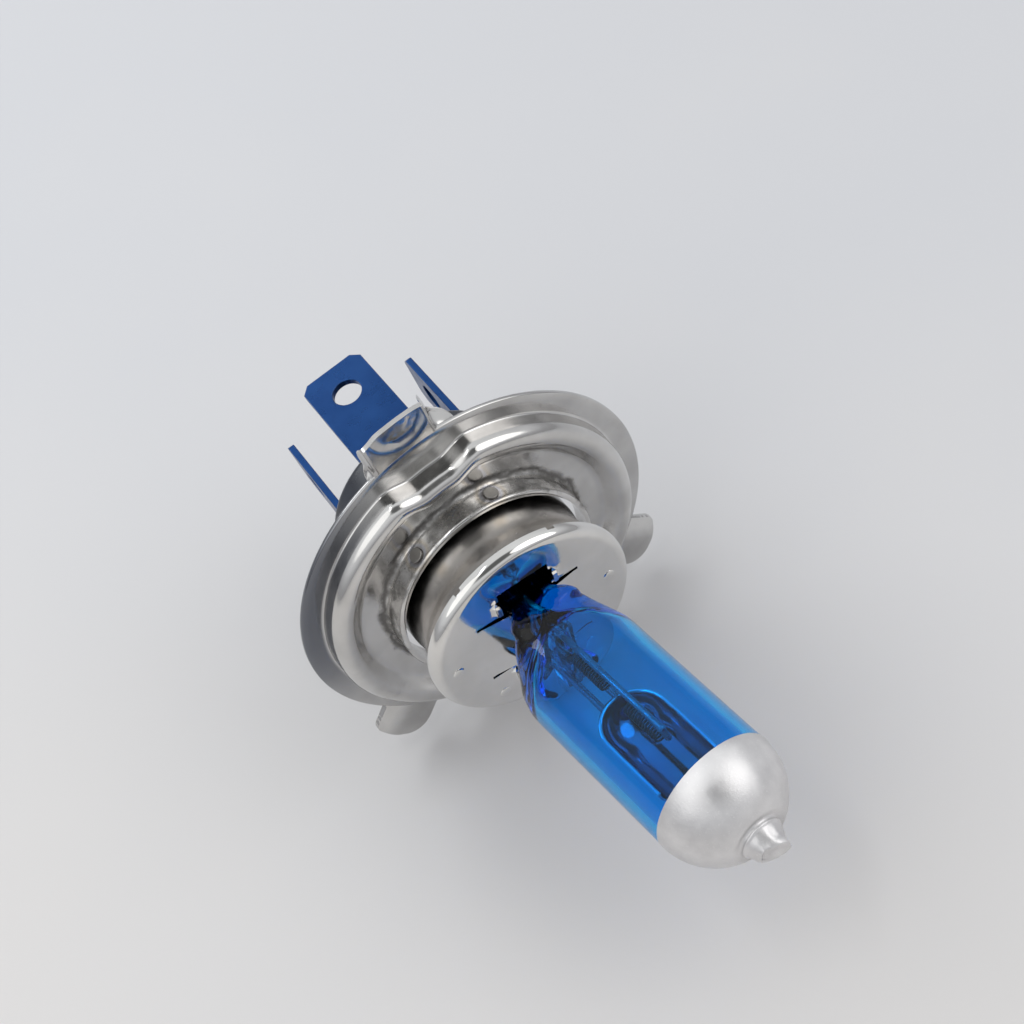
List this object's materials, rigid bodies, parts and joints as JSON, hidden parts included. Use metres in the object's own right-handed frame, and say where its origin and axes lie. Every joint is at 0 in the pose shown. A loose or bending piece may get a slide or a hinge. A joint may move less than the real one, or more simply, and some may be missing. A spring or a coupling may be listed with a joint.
{
  "type": "headlight bulb",
  "caption": "Twin-filament headlight bulb: blue glass tube with a silvered dome, stamped focus ring with a wide top lug and narrow lower lugs, and flat push-on contacts.",
  "frame": {"origin": "centre of the focus ring's front rim face, on the bulb axis", "axes": "-Y along the bulb axis towards the silvered tip, +Y towards the contacts, +Z towards the wide top lug, +X to the right seen from behind the tip looking at the ring"},
  "size_m": [0.043, 0.0758, 0.0469],
  "materials": {
    "blue_glass": "clear blue lacquered quartz, polished",
    "silver_coating": "satin silver paint",
    "tungsten": "dull drawn wire",
    "molybdenum": "bright drawn metal",
    "foil": "thin bright foil",
    "clear_quartz": "clear fused quartz",
    "plate_steel": "bright nickel plate",
    "sleeve_steel": "bright nickel plate, slightly warm",
    "weld_metal": "frosted weld spots",
    "ring_steel": "bright stamped nickel plate",
    "dark_insulator": "glossy, near black",
    "contact_metal": "smooth plated metal with a blue sheen"
  },
  "bodies": {
    "root": {"glass_envelope": "blue_glass", "tip_coating": "silver_coating", "low_beam_filament": "tungsten", "high_beam_filament": "tungsten", "low_beam_shield": "molybdenum", "shield_support": "molybdenum", "lead_bridge": "clear_quartz", "inner_lead_low": "molybdenum", "inner_lead_common": "molybdenum", "inner_lead_high": "molybdenum", "common_link": "molybdenum", "foil_low": "foil", "foil_common": "foil", "foil_high": "foil", "outer_lead_low": "molybdenum", "outer_lead_common": "molybdenum", "outer_lead_high": "molybdenum", "holder_plate": "plate_steel", "plate_welds": "weld_metal", "sleeve": "sleeve_steel", "collar_welds": "weld_metal", "focus_ring": "ring_steel", "insulator": "dark_insulator", "terminal_low_beam": "contact_metal", "terminal_high_beam": "contact_metal", "terminal_ground": "contact_metal"}
  },
  "joints": []
}
